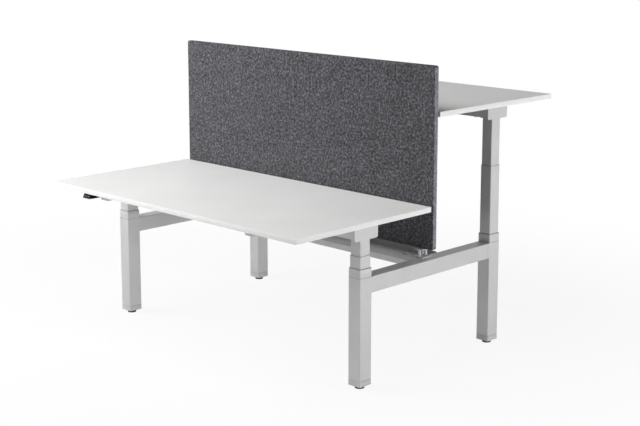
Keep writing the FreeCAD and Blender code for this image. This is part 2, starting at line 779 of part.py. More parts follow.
bolts, brackets, tray_walls = [], [], []
for name, side in (("left", LEFT), ("right", RIGHT)):
    turn = 0 if side == RIGHT else HALF_TURN
    bar = keep(crossbar(f"{name}_crossbar"))
    place(bar, f"{side} * {LEG_X}", "0", "frame_top", turn)
    for row in (FRONT, REAR):
        bolts.append(frame_bolt(f"{name}_bolt_{len(bolts)}"))
        place(bolts[-1], f"{side} * ({TRAY_LENGTH} / 2 - tray_sheet)", f"{row} * bolt_spacing / 2",
              "frame_top - bolt_drop", turn)
    for wall in (tray_side, tray_end):
        tray_walls.append(wall(f"{name}_{wall.__name__}"))
        place(tray_walls[-1], "0", "0", "frame_top", turn)
    brackets.append(screen_bracket(f"{name}_screen_bracket"))
    place(brackets[-1], f"{side} * (desk_length / 2 - bracket_inset)", "0", "frame_top")
keep(group("frame_bolts", bolts))
keep(group("screen_brackets", brackets))
keep(group("tray_walls", tray_walls))
tray = keep(tray_floor("cable_tray"))
place(tray, "0", "0", "frame_top")
screen = keep(privacy_screen("privacy_screen"))
place(screen, "0", "0", "screen_bottom")

# Assembly of the two desks

for desk, row in (("front", FRONT), ("rear", REAR)):
    turn = 0 if row == FRONT else HALF_TURN
    centre = f"{row} * {LEG_Y}"
    underside = desk_underside(row)
    top = keep(desk_top(f"{desk}_top"))
    place(top, "0", centre, underside, turn)
    members = []
    for edge in (FRONT, REAR):
        members.append(rail(f"{desk}_rail_{len(members)}"))
        place(members[-1], "0", f"{centre} + {edge} * {RAIL_Y}", underside)
        for side in (LEFT, RIGHT):
            members.append(arm(f"{desk}_arm_{len(members)}"))
            place(members[-1], f"{side} * (desk_length / 2 - arm_inset)",
                  f"{centre} + {edge} * {RAIL_OUTSIDE}", underside, 0 if edge == FRONT else HALF_TURN)
    keep(group(f"{desk}_top_frame", members))
    base = keep(handset_base(f"{desk}_handset"))
    place(base, f"{row} * {HANDSET_X}", centre, underside, turn)
    key = keep(paddle(f"{desk}_handset_paddle"))
    place(key, f"{row} * {HANDSET_X}", centre, underside, turn)
    box = keep(control_box(f"{desk}_control_box"))
    place(box, "0", f"{centre} - {row} * ({RAIL_OUTSIDE} + box_place)", underside, turn)

doc.recompute()
for thing in doc.Objects:
    if "Invalid" in thing.State or "Error" in thing.State:
        raise RuntimeError(f"{thing.Label} failed: {thing.State}")
os.makedirs("parts", exist_ok=True)
for thing in kept:
    shape = thing.Shape
    if shape.isNull() or not shape.isValid():
        raise RuntimeError(f"{thing.Label} has no valid shape")
    shape.exportStep(f"parts/{thing.Label}.step")
print(len(kept), "sub-parts written")
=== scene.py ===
import math
import bpy
from mathutils import Matrix, Vector


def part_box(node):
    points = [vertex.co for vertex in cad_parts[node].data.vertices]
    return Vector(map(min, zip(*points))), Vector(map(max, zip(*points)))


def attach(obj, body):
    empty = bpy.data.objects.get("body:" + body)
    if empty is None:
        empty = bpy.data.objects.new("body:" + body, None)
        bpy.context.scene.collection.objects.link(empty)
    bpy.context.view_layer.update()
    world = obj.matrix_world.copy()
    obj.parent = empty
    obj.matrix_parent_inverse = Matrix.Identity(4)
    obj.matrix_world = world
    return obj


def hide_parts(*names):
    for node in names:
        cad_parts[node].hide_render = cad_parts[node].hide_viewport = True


# A bench of two back-to-back sit-stand desks with a felt screen between them, finished piece by
# piece in the order in which it is put together: +X along the desks, -Y the front desk's user.
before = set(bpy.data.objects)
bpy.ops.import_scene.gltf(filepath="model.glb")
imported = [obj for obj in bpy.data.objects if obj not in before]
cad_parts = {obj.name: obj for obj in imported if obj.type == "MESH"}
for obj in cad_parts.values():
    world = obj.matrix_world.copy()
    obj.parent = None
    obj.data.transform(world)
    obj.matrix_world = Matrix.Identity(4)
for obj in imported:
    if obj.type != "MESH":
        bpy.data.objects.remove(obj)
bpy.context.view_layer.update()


# Levelling feet. A black nylon pad is moulded round the nut of a threaded stem and turned by hand;
# a softer rim is pressed round the pad and a low ring is moulded under the nut.
MM = 0.001
LEGS = ("front_left", "front_right", "rear_left", "rear_right")
UP, DOWN = Vector((0, 0, 1)), Vector((0, 0, -1))


def linear(colour):
    """A #RRGGBB colour as the linear light that Blender's colour sockets expect."""
    shares = [int(colour[start:start + 2], 16) / 255 for start in (1, 3, 5)]
    return [s / 12.92 if s <= 0.04045 else ((s + 0.055) / 1.055) ** 2.4 for s in shares] + [1.0]


def add_node(tree, kind, inputs=None, stops=(), **settings):
    """One node with its settings. An input is a value or the output that feeds it, and stops are
    a colour ramp's places and colours."""
    node = tree.nodes.new(kind)
    for name, value in settings.items():
        setattr(node, name, value)
    for name, value in (inputs or {}).items():
        if isinstance(value, bpy.types.NodeSocket):
            tree.links.new(value, node.inputs[name])
        else:
            node.inputs[name].default_value = value
    if stops:
        points = node.color_ramp.elements
        while len(points) < len(stops):
            points.new(0.5)
        for point, (place, colour) in zip(points, stops):
            point.position = place
            point.color = linear(colour)
    return node


def new_material(name):
    """An empty material, its node tree and the object's own coordinates."""
    material = bpy.data.materials.new(name)
    material.use_nodes = True
    tree = material.node_tree
    tree.nodes.clear()
    return material, tree, add_node(tree, "ShaderNodeTexCoord").outputs["Object"]


def moulded_plastic(name, dark, light, roughness, grain=0.5 * MM, depth=0.03 * MM, values=None):
    """Injection-moulded plastic: the mould's spark-eroded grain breaks the shine into a fine
    glitter, and the tone drifts slowly as the melt flowed."""
    flow_size, spread = 40 * MM, 0.06
    material, tree, place = new_material(name)
    flow = add_node(tree, "ShaderNodeTexNoise", {
        "Vector": place, "Scale": 1 / flow_size, "Detail": 3.0, "Roughness": 0.55})
    tone = add_node(tree, "ShaderNodeValToRGB", {"Fac": flow.outputs["Fac"]}, [(0.3, dark), (0.7, light)])
    grit = add_node(tree, "ShaderNodeTexNoise", {
        "Vector": place, "Scale": 1 / grain, "Detail": 1.0, "Roughness": 0.55})
    relief = add_node(tree, "ShaderNodeBump", {"Height": grit.outputs["Fac"], "Distance": depth})
    shine = add_node(tree, "ShaderNodeMapRange", {
        "Value": grit.outputs["Fac"], "To Min": roughness - spread, "To Max": roughness + spread})
    shader = add_node(tree, "ShaderNodeBsdfPrincipled", {
        "Base Color": tone.outputs["Color"], "Roughness": shine.outputs["Result"],
        "Normal": relief.outputs["Normal"], **(values or {})})
    add_node(tree, "ShaderNodeOutputMaterial", {"Surface": shader.outputs["BSDF"]})
    return material


def finish_nodes(material, *names):
    """Give the frame's own nodes their material."""
    for name in names:
        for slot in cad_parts[name].material_slots:
            slot.material = material


def select_only(*pieces):
    bpy.ops.object.select_all(action="DESELECT")
    for piece in pieces:
        piece.select_set(True)
    bpy.context.view_layer.objects.active = pieces[0]


def eased(piece, radius, steps=3):
    """Write the piece's place into its mesh, round its sharp edges and shade its curves smooth."""
    select_only(piece)
    bpy.ops.object.transform_apply(location=True, rotation=True, scale=True)
    bevel = piece.modifiers.new("eased_edges", "BEVEL")
    bevel.width = radius
    bevel.segments = steps
    bevel.limit_method = "ANGLE"
    bevel.angle_limit = math.radians(40)
    bpy.ops.object.modifier_apply(modifier=bevel.name)
    bpy.ops.object.shade_smooth_by_angle(angle=math.radians(35))
    return piece


def pick_faces(piece, *directions):
    """Go into edit mode with only the faces selected that look squarely in the directions."""
    squarely = 0.9
    select_only(piece)
    bpy.context.tool_settings.mesh_select_mode = (False, False, True)
    bpy.ops.object.mode_set(mode="EDIT")
    bpy.ops.mesh.select_all(action="DESELECT")
    bpy.ops.object.mode_set(mode="OBJECT")
    for face in piece.data.polygons:
        face.select = any(face.normal.dot(direction) > squarely for direction in directions)
    bpy.ops.object.mode_set(mode="EDIT")


def turned_ring(base, radius, bore, height, edge, sides=48, turn=(0, 0, 0)):
    """A rim, collar or washer: a cylinder whose ends are inset to the bore and bridged through."""
    centre = (base[0], base[1], base[2] + height / 2)
    bpy.ops.mesh.primitive_cylinder_add(vertices=sides, radius=radius, depth=height, location=centre)
    piece = bpy.context.object
    pick_faces(piece, UP, DOWN)
    bpy.ops.mesh.inset(thickness=radius - bore)
    bpy.ops.mesh.bridge_edge_loops()
    bpy.ops.object.mode_set(mode="OBJECT")
    piece.rotation_euler = turn
    return eased(piece, edge, steps=2)


def copies(pattern, places):
    """The pattern piece copied to each place, each copy with its own mesh."""
    twins = []
    for place in places:
        select_only(pattern)
        bpy.ops.object.duplicate()
        twin = bpy.context.object
        twin.location = place
        bpy.ops.object.transform_apply(location=True, rotation=False, scale=False)
        twins.append(twin)
    return twins


def finish_piece(name, parts, body, material):
    """Join the parts, all written in place, into one named piece with its body and material."""
    select_only(*parts)
    if len(parts) > 1:
        bpy.ops.object.join()
    piece = bpy.context.object
    piece.name = name
    piece.data.materials.clear()
    piece.data.materials.append(material)
    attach(piece, body)
    return piece


NYLON = moulded_plastic("moulded_nylon", "#1C1C1D", "#242425", roughness=0.6)
rim_base, ring_base = 0.8 * MM, 5.5 * MM
rim = turned_ring((0, 0, rim_base), radius=20.2 * MM, bore=17 * MM, height=3.8 * MM, edge=1.2 * MM)
ring = turned_ring((0, 0, ring_base), radius=14 * MM, bore=9 * MM, height=1.9 * MM, edge=0.8 * MM)
for leg in LEGS:
    finish_nodes(NYLON, f"{leg}_levelling_foot")
    low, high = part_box(f"{leg}_levelling_foot")
    middle = (low + high) / 2
    place = (middle.x, middle.y, low.z)
    parts = copies(rim, [place]) + copies(ring, [place])
    finish_piece(f"{leg}_foot_rim", parts, f"{leg}_foot", NYLON)
bpy.data.objects.remove(rim)
bpy.data.objects.remove(ring)


# Legs. Rectangular steel tube, silver powder coat, with a moulded cap pressed into its foot; a thin
# dark band between the two is painted shade in the gap.
def powder_coat():
    """Sprayed and baked silver polyester: aluminium flakes under 1 mm sparkle, and the surface has
    a faint orange peel. Both are drawn a little coarser than life, so that they show."""
    drift_size, flake_size, peel_size, peel_depth = 220 * MM, 0.9 * MM, 1.6 * MM, 0.05 * MM
    material, tree, place = new_material("silver_powder_coat")
    drift = add_node(tree, "ShaderNodeTexNoise", {
        "Vector": place, "Scale": 1 / drift_size, "Detail": 2.0, "Roughness": 0.55})
    base = add_node(tree, "ShaderNodeValToRGB", {"Fac": drift.outputs["Fac"]},
                    [(0.3, "#CACACB"), (0.7, "#D3D3D4")])
    flake = add_node(tree, "ShaderNodeTexNoise", {
        "Vector": place, "Scale": 1 / flake_size, "Detail": 1.0, "Roughness": 0.55})
    sparkle = add_node(tree, "ShaderNodeValToRGB", {"Fac": flake.outputs["Fac"]},
                       [(0.35, "#E2E2E2"), (0.5, "#FFFFFF")])
    # A colour mix has its factor at input 0, its two colours at 6 and 7 and its result at output 2.
    both = add_node(tree, "ShaderNodeMix", {0: 1.0, 6: base.outputs["Color"], 7: sparkle.outputs["Color"]},
                    data_type="RGBA", blend_type="MULTIPLY")
    peel = add_node(tree, "ShaderNodeTexNoise", {
        "Vector": place, "Scale": 1 / peel_size, "Detail": 2.0, "Roughness": 0.55})
    relief = add_node(tree, "ShaderNodeBump", {"Height": peel.outputs["Fac"], "Distance": peel_depth})
    shine = add_node(tree, "ShaderNodeMapRange", {
        "Value": peel.outputs["Fac"], "To Min": 0.4, "To Max": 0.52})
    shader = add_node(tree, "ShaderNodeBsdfPrincipled", {
        "Base Color": both.outputs[2], "Roughness": shine.outputs["Result"],
        "Normal": relief.outputs["Normal"], "Metallic": 0.2, "Specular IOR Level": 0.2})
    add_node(tree, "ShaderNodeOutputMaterial", {"Surface": shader.outputs["BSDF"]})
    return material


def rounded_sheet(width, depth, radius):
    """A rectangle with rounded corners about the origin, in edit mode with its face selected."""
    bpy.ops.mesh.primitive_plane_add(size=1)
    piece = bpy.context.object
    piece.scale = (width, depth, 1)
    bpy.ops.object.transform_apply(location=False, rotation=False, scale=True)
    bpy.context.tool_settings.mesh_select_mode = (False, False, True)
    bpy.ops.object.mode_set(mode="EDIT")
    bpy.ops.mesh.select_all(action="SELECT")
    bpy.ops.mesh.bevel(offset=radius, segments=6, affect="VERTICES")
    bpy.ops.mesh.select_all(action="SELECT")
    return piece


def raised(piece, height, base, turn=(0, 0, 0)):
    """Extrude the sheet to a closed solid, then turn it and set its base in place."""
    bpy.ops.mesh.select_all(action="SELECT")
    bpy.ops.mesh.extrude_region_move(TRANSFORM_OT_translate={"value": (0, 0, height)})
    bpy.ops.mesh.select_all(action="SELECT")
    bpy.ops.mesh.normals_make_consistent(inside=False)
    bpy.ops.object.mode_set(mode="OBJECT")
    piece.rotation_euler = turn
    piece.location = base
    return piece


def band(width, depth, radius, wall, height, base=(0, 0, 0), edge=0.1 * MM, turn=(0, 0, 0)):
    """A thin band round a rounded rectangle: the sheet is inset by the wall, opened and raised."""
    piece = rounded_sheet(width, depth, radius)
    bpy.ops.mesh.inset(thickness=wall)
    bpy.ops.mesh.delete(type="FACE")
    return eased(raised(piece, height, base, turn), edge, steps=2)


COAT = powder_coat()
CAP = moulded_plastic("moulded_polypropylene", "#C2C2C3", "#CBCBCC", roughness=0.5)
# Mid-grey bands in the gaps at the caps, the crossbars' joints and the collars' seams: painted shade.
SEAM_SHADE = moulded_plastic("painted_seam_shade", "#5E5F60", "#6A6B6C", roughness=0.7)
finish_nodes(CAP, "foot_caps")
finish_nodes(COAT, *[f"{leg}_leg_tube" for leg in LEGS])
leg_boxes = [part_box(f"{leg}_leg_tube") for leg in LEGS]
leg_size = leg_boxes[0][1] - leg_boxes[0][0]
leg_places = [Vector(((low.x + high.x) / 2, (low.y + high.y) / 2, 0)) for low, high in leg_boxes]
leg_foot, leg_mouth = leg_boxes[0][0].z, leg_boxes[0][1].z
# A thin band of painted shade where the cap meets the leg.
cap_shade_inset, cap_shade_height, cap_shade_drop = 0.5 * MM, 1.1 * MM, 1.15 * MM
cap_shade_band = band(leg_size.x - 2 * cap_shade_inset, leg_size.y - 2 * cap_shade_inset, radius=3 * MM, wall=0.5 * MM,
            height=cap_shade_height, base=(0, 0, leg_foot - cap_shade_drop))
finish_piece("foot_cap_seams", copies(cap_shade_band, leg_places), "stand", SEAM_SHADE)
bpy.data.objects.remove(cap_shade_band)


# Crossbars. Steel tube between a front and a rear leg, welded above and below; its ends are filled
# flush with the legs' rounded corners; a joint line of painted shade runs round it just before the rear
# leg.
def block(low, high, edge, steps=3):
    """A box between two corners with its edges eased."""
    low, high = Vector(low), Vector(high)
    bpy.ops.mesh.primitive_cube_add(size=1, location=(low + high) / 2)
    bpy.context.object.scale = high - low
    return eased(bpy.context.object, edge, steps)


def rod(start, end, radius, edge, sides=20):
    """A round bar between two points with its rims eased."""
    start, end = Vector(start), Vector(end)
    along = end - start
    bpy.ops.mesh.primitive_cylinder_add(
        vertices=sides, radius=radius, depth=along.length, location=(start + end) / 2,
        rotation=along.to_track_quat("Z", "Y").to_euler())
    return eased(bpy.context.object, edge)


fill_reach, fill_proud, fill_margin = 5 * MM, 0.12 * MM, 4 * MM
fill_lap, fill_depth = 0.4 * MM, 4.6 * MM
bead_radius, bead_inset = 1.8 * MM, 6 * MM
joint_proud, joint_gap, joint_place = 0.15 * MM, 0.9 * MM, 12.5 * MM
fills, beads, joints = [], [], []
for name in ("left", "right"):
    finish_nodes(COAT, f"{name}_crossbar")
    low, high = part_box(f"{name}_crossbar")
    middle, size = (low + high) / 2, high - low
    for end, way in ((low.y, -1), (high.y, 1)):
        for face, out in ((low.x, -1), (high.x, 1)):
            near, far = sorted((face - out * fill_reach, face + out * fill_proud))
            start, stop = sorted((end - way * fill_lap, end + way * fill_depth))
            fills.append(block((near, start, low.z + fill_margin), (far, stop, high.z - fill_margin),
                               edge=0.05 * MM, steps=1))
        for level in (low.z, high.z):
            beads.append(rod((low.x + bead_inset, end, level), (high.x - bead_inset, end, level),
                             radius=bead_radius, edge=1 * MM))
    # A thin band of painted shade in the joint round the crossbar.
    joints.append(band(size.x + 2 * joint_proud, size.z + 2 * joint_proud, radius=4 * MM, wall=0.55 * MM,
                       height=joint_gap, base=(middle.x, high.y - joint_place + joint_gap, middle.z),
                       turn=(math.pi / 2, 0, 0)))
finish_piece("crossbar_corner_fills", fills, "stand", COAT)
finish_piece("crossbar_welds", beads, "stand", COAT)
finish_piece("crossbar_joint_lines", joints, "stand", SEAM_SHADE)


# Cable tray. Folded sheet steel in the frame's coat: rolled hems stiffen its walls, bridges stamped
# up from the floor take cable ties, and four zinc-plated bolts with washers hold it to the crossbars.
def rolled_steel(name, dark, light, pitch=None):
    """Zinc-plated steel: bright, with faint upright streaks. A pitch adds thread ridges, drawn in
    relief because the solids carry none. A wave texture of scale 1 repeats every pi / 10."""
    streak_width, streak_depth, ridge_depth = 2 * MM, 0.02 * MM, 0.8 * MM
    material, tree, place = new_material(name)
    along = add_node(tree, "ShaderNodeMapping", {"Vector": place, "Scale": (1, 1, 0.1)})
    streak = add_node(tree, "ShaderNodeTexNoise", {
        "Vector": along.outputs["Vector"], "Scale": 1 / streak_width, "Detail": 3.0, "Roughness": 0.55})
    tone = add_node(tree, "ShaderNodeValToRGB", {"Fac": streak.outputs["Fac"]}, [(0.3, dark), (0.7, light)])
    shine = add_node(tree, "ShaderNodeMapRange", {
        "Value": streak.outputs["Fac"], "To Min": 0.28, "To Max": 0.42})
    if pitch:
        unit_wave = math.pi / 10
        ridge = add_node(tree, "ShaderNodeTexWave", {"Vector": place, "Scale": unit_wave / pitch},
                         wave_type="BANDS", bands_direction="Z")
        relief = add_node(tree, "ShaderNodeBump", {"Height": ridge.outputs["Fac"], "Distance": ridge_depth})
    else:
        relief = add_node(tree, "ShaderNodeBump", {
            "Height": streak.outputs["Fac"], "Distance": streak_depth})
    shader = add_node(tree, "ShaderNodeBsdfPrincipled", {
        "Base Color": tone.outputs["Color"], "Roughness": shine.outputs["Result"],
        "Normal": relief.outputs["Normal"], "Metallic": 1.0})
    add_node(tree, "ShaderNodeOutputMaterial", {"Surface": shader.outputs["BSDF"]})
    return material


def tie_bridge(level, length, width, height, sheet):
    """A strip stamped up from the floor: its leading edge is extruded up, across and down again."""
    foot, slope, sliver = 3 * MM, 0.5 * MM, 0.1 * MM
    bpy.ops.mesh.primitive_plane_add(size=1, location=((foot - length) / 2, 0, level))
    piece = bpy.context.object
    piece.scale = (foot, width, 1)
    bpy.ops.object.transform_apply(location=True, rotation=False, scale=True)
    bpy.context.tool_settings.mesh_select_mode = (False, True, False)
    bpy.ops.object.mode_set(mode="EDIT")
    bpy.ops.mesh.select_all(action="DESELECT")
    bpy.ops.object.mode_set(mode="OBJECT")
    points = piece.data.vertices
    leading = max(point.co.x for point in points) - sliver
    for edge in piece.data.edges:
        edge.select = all(points[index].co.x > leading for index in edge.vertices)
    bpy.ops.object.mode_set(mode="EDIT")
    span = length - 2 * (foot + slope)
    for step in ((slope, 0, height), (span, 0, 0), (slope, 0, -height), (foot, 0, 0)):
        bpy.ops.mesh.extrude_region_move(TRANSFORM_OT_translate={"value": step})
    bpy.ops.object.mode_set(mode="OBJECT")
    wall = piece.modifiers.new("sheet", "SOLIDIFY")
    wall.thickness = sheet
    wall.offset = 0
    bpy.ops.object.modifier_apply(modifier=wall.name)
    return eased(piece, 0.3 * MM, steps=2)


STEEL = rolled_steel("zinc_plated_steel", "#8A8B8C", "#A6A7A8")
finish_nodes(COAT, "cable_tray", "tray_walls")
finish_nodes(STEEL, "frame_bolts")
low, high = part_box("tray_walls")
hem_radius, hem_end, hem_inset, hem_drop = 1.5 * MM, 3 * MM, 1.1 * MM, 0.6 * MM
hems = [rod((low.x + hem_end, y, high.z - hem_drop), (high.x - hem_end, y, high.z - hem_drop),
            radius=hem_radius, edge=0.6 * MM) for y in (low.y + hem_inset, high.y - hem_inset)]
finish_piece("tray_hems", hems, "stand", COAT)

bridge_count, bridge_pitch, bridge_rows, bridge_sink = 6, 240 * MM, (-45 * MM, 45 * MM), 0.3 * MM
floor_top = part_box("cable_tray")[1].z
bridge = tie_bridge(floor_top + bridge_sink, length=26 * MM, width=12 * MM, height=4.6 * MM, sheet=1.2 * MM)
places = [((step - (bridge_count - 1) / 2) * bridge_pitch, y, 0)
          for step in range(bridge_count) for y in bridge_rows]
finish_piece("tray_tie_bridges", copies(bridge, places), "stand", COAT)
bpy.data.objects.remove(bridge)

tray_sheet, bolt_head, washer_sheet = 2 * MM, 7 * MM, 1 * MM
bolt_low, bolt_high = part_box("frame_bolts")
bolt_row, bolt_level = bolt_high.y - bolt_head, (bolt_low.z + bolt_high.z) / 2
washer_place = high.x - tray_sheet - washer_sheet / 2
washer = turned_ring((0, 0, -washer_sheet / 2), radius=9.5 * MM, bore=4.2 * MM, height=washer_sheet,
                     edge=0.25 * MM, sides=32, turn=(0, math.pi / 2, 0))
washers = copies(washer, [(x, y, bolt_level) for x in (-washer_place, washer_place)
                          for y in (-bolt_row, bolt_row)])
finish_piece("frame_bolt_washers", washers, "stand", STEEL)
bpy.data.objects.remove(washer)


# Columns. Three steel tubes slide in one another on acetal glides; a pressed collar closes the gap
# between a leg's mouth and its outer tube, with a band of painted shade in the seam under it.
ACETAL = moulded_plastic("moulded_acetal", "#4A4B4C", "#565758", roughness=0.4)
finish_nodes(ACETAL, "outer_glides", *[f"{leg}_stage_fittings" for leg in LEGS])
finish_nodes(COAT, *[f"{leg}_{stage}_tube" for leg in LEGS for stage in ("outer", "middle", "inner")])
collar_inset, seam_inset, seam_height = 0.3 * MM, 0.6 * MM, 0.9 * MM
tube_play, mouth_drop = 0.15 * MM, 0.2 * MM
tube_low, tube_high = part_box(f"{LEGS[0]}_outer_tube")
gap = (leg_size.x - (tube_high.x - tube_low.x)) / 2 - tube_play
collar = band(leg_size.x - 2 * collar_inset, leg_size.y - 2 * collar_inset, radius=3.6 * MM,
              wall=gap - collar_inset, height=tube_high.z - mouth_drop - leg_mouth - seam_height,
              base=(0, 0, leg_mouth + seam_height), edge=0.3 * MM)
# The seam under the collar is a band of painted shade.
seam = band(leg_size.x - 2 * seam_inset, leg_size.y - 2 * seam_inset, radius=3.4 * MM,
            wall=gap - seam_inset, height=seam_height, base=(0, 0, leg_mouth))
finish_piece("leg_collars", copies(collar, leg_places), "stand", COAT)
finish_piece("leg_collar_seams", copies(seam, leg_places), "stand", SEAM_SHADE)
bpy.data.objects.remove(collar)
bpy.data.objects.remove(seam)


# Lift drive. Inside each column a hollow screw turned by the motor drives the sliding nut, which
# turns in its carrier on a fixed screw: trapezoidal threads in bright steel, the motor lacquered.
THREAD = rolled_steel("threaded_steel", "#8A8B8C", "#A6A7A8", pitch=5 * MM)
LACQUER = moulded_plastic("motor_lacquer", "#26272A", "#303134", roughness=0.4, values={"Metallic": 0.3})
finish_nodes(THREAD, "fixed_screws", *[f"{leg}_lift_screw" for leg in LEGS])
finish_nodes(STEEL, *[f"{leg}_drive_nut" for leg in LEGS])
finish_nodes(LACQUER, *[f"{leg}_motor" for leg in LEGS])


# Top frames. Folded heads on the columns, two rails and four arms under each top, all powder-coated
# steel; hexagon bolts with washers hold the rails and moulded caps close the arms' ends.
def socket_screw():
    """A pan-head screw driven up into the board: a domed head with a socket sunk in its face."""
    head_radius, head_height, head_lap = 4.2 * MM, 2.5 * MM, 0.1 * MM
    socket_radius, socket_depth = 1.7 * MM, 1.2 * MM
    bpy.ops.mesh.primitive_cylinder_add(vertices=24, radius=head_radius, depth=head_height,
                                        location=(0, 0, head_lap - head_height / 2))
    piece = bpy.context.object
    pick_faces(piece, DOWN)
    bpy.ops.mesh.inset(thickness=head_radius - socket_radius)
    bpy.ops.mesh.extrude_region_move(TRANSFORM_OT_translate={"value": (0, 0, socket_depth)})
    bpy.ops.object.mode_set(mode="OBJECT")
    return eased(piece, 0.5 * MM)


def arm_cap(out):
    """A moulded cap on an arm's open end: a box whose lower face is drawn in to the arm's slope."""
    proud, inside, mouth, foot, height = 1.6 * MM, 1 * MM, 60 * MM, 48 * MM, 27 * MM
    centre = Vector((0, out * (proud - inside) / 2, -height / 2))
    bpy.ops.mesh.primitive_cube_add(size=1, location=centre)
    piece = bpy.context.object
    piece.scale = (mouth, proud + inside, height)
    bpy.ops.object.transform_apply(location=True, rotation=False, scale=True)
    pick_faces(piece, DOWN)
    bpy.ops.transform.resize(value=(foot / mouth, 1, 1), center_override=centre)
    bpy.ops.object.mode_set(mode="OBJECT")
    return eased(piece, 0.6 * MM, steps=2)


DESKS = {"front": -1, "rear": 1}  # each desk's side of the bench along Y
arms, arm_sheet, cap_drop = (-482 * MM, 482 * MM), 2 * MM, 0.4 * MM
flange_place, screw_rows = 36 * MM, (110 * MM, 320 * MM)
rail_bolts, rail_row, rail_drop = (712 * MM, 745 * MM), 48 * MM, 42 * MM
washer_base, head_top, head_bottom = -1.1 * MM, -1 * MM, -5 * MM
screw = socket_screw()
front_cap, rear_cap = arm_cap(-1), arm_cap(1)
washer = turned_ring((0, 0, washer_base), radius=8 * MM, bore=3 * MM, height=1.2 * MM, edge=0.2 * MM,
                     sides=32)
bolt = rod((0, 0, head_top), (0, 0, head_bottom), radius=6 * MM, edge=0.4 * MM, sides=6)
for desk in DESKS:
    finish_nodes(COAT, f"{desk}_top_frame", f"{desk}_left_head", f"{desk}_right_head")
    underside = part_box(f"{desk}_top")[0].z
    low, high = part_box(f"{desk}_top_frame")
    middle_y = (low.y + high.y) / 2
    places = [(arm + across, middle_y + along, underside - arm_sheet)
              for arm in arms for across in (-flange_place, flange_place)
              for row in screw_rows for along in (-row, row)]
    finish_piece(f"{desk}_top_screws", copies(screw, places), f"{desk}_desk", STEEL)
    caps = [copies(cap, [(arm, end, underside - cap_drop)])[0]
            for arm in arms for cap, end in ((front_cap, low.y), (rear_cap, high.y))]
    finish_piece(f"{desk}_arm_end_caps", caps, f"{desk}_desk", CAP)
    places = [(way * x, middle_y + across, underside - rail_drop)
              for way in (-1, 1) for x in rail_bolts for across in (-rail_row, rail_row)]
    bolts = copies(washer, places) + copies(bolt, places)
    finish_piece(f"{desk}_rail_bolts", bolts, f"{desk}_desk", STEEL)
for pattern in (front_cap, rear_cap, washer, bolt):
    bpy.data.objects.remove(pattern)


# Control boxes. Black ABS shells under the tops, moulded in one with four screw lugs and with
# cooling ribs across their undersides.
ABS = moulded_plastic("moulded_black_abs", "#1B1C1D", "#232425", roughness=0.55, grain=0.9 * MM,
                      depth=0.06 * MM)
lug_reach, lug_lap, lug_width, lug_sheet = 15 * MM, 1 * MM, 18 * MM, 4 * MM
lug_row, lug_screw = 40 * MM, 8 * MM
rib_count, rib_first, rib_pitch = 4, 20 * MM, 8 * MM
rib_width, rib_height, rib_margin, rib_lap = 2.4 * MM, 1.2 * MM, 17 * MM, 1 * MM
for desk in DESKS:
    finish_nodes(ABS, f"{desk}_control_box")
    low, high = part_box(f"{desk}_control_box")
    middle_y = (low.y + high.y) / 2
    lugs, places = [], []
    for face, out in ((low.x, -1), (high.x, 1)):
        for y in (middle_y - lug_row, middle_y + lug_row):
            near, far = sorted((face - out * lug_lap, face + out * lug_reach))
            lugs.append(block((near, y - lug_width / 2, high.z - lug_sheet),
                              (far, y + lug_width / 2, high.z), edge=0.8 * MM))
            places.append((face + out * lug_screw, y, high.z - lug_sheet))
        for rib in range(rib_count):
            x = face - out * (rib_first + rib * rib_pitch)
            lugs.append(block((x - rib_width / 2, low.y + rib_margin, low.z - rib_height),
                              (x + rib_width / 2, high.y - rib_margin, low.z + rib_lap),
                              edge=0.5 * MM, steps=2))
    finish_piece(f"{desk}_box_lugs", lugs, f"{desk}_desk", ABS)
    finish_piece(f"{desk}_box_screws", copies(screw, places), f"{desk}_desk", STEEL)
bpy.data.objects.remove(screw)


# Tops. Particle board faced with white melamine; a band of white ABS is glued round each edge and
# trimmed a hair proud of the faces, with its arrises eased.
def melamine():
    """White melamine: a pearl texture pressed into the hot face scatters the light, so that it is
    nearly matt. The pearl is drawn a little coarser than life, so that it shows."""
    drift_size, pearl_size, pearl_depth = 300 * MM, 0.8 * MM, 0.04 * MM
    material, tree, place = new_material("white_melamine")
    drift = add_node(tree, "ShaderNodeTexNoise", {
        "Vector": place, "Scale": 1 / drift_size, "Detail": 2.0, "Roughness": 0.55})
    face = add_node(tree, "ShaderNodeValToRGB", {"Fac": drift.outputs["Fac"]},
                    [(0.3, "#EEEEED"), (0.7, "#F2F2F1")])
    pearl = add_node(tree, "ShaderNodeTexNoise", {
        "Vector": place, "Scale": 1 / pearl_size, "Detail": 2.0, "Roughness": 0.55})
    relief = add_node(tree, "ShaderNodeBump", {"Height": pearl.outputs["Fac"], "Distance": pearl_depth})
    shine = add_node(tree, "ShaderNodeMapRange", {
        "Value": pearl.outputs["Fac"], "To Min": 0.5, "To Max": 0.62})
    shader = add_node(tree, "ShaderNodeBsdfPrincipled", {
        "Base Color": face.outputs["Color"], "Roughness": shine.outputs["Result"],
        "Normal": relief.outputs["Normal"], "Specular IOR Level": 0.22})
    add_node(tree, "ShaderNodeOutputMaterial", {"Surface": shader.outputs["BSDF"]})
    return material


BOARD = melamine()
BAND = moulded_plastic("white_abs_edge", "#EFEFEE", "#F3F3F2", roughness=0.4, grain=0.7 * MM,
                       depth=0.02 * MM)
band_proud, band_depth, face_proud = 0.2 * MM, 1.2 * MM, 0.1 * MM
for desk in DESKS:
    finish_nodes(BOARD, f"{desk}_top")
    low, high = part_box(f"{desk}_top")
    middle, size = (low + high) / 2, high - low
    edge_band = band(size.x + 2 * band_proud, size.y + 2 * band_proud, radius=2.2 * MM, wall=band_depth,
                     height=size.z + 2 * face_proud, base=(middle.x, middle.y, low.z - face_proud),
                     edge=0.55 * MM)
    finish_piece(f"{desk}_edge_band", [edge_band], f"{desk}_desk", BAND)


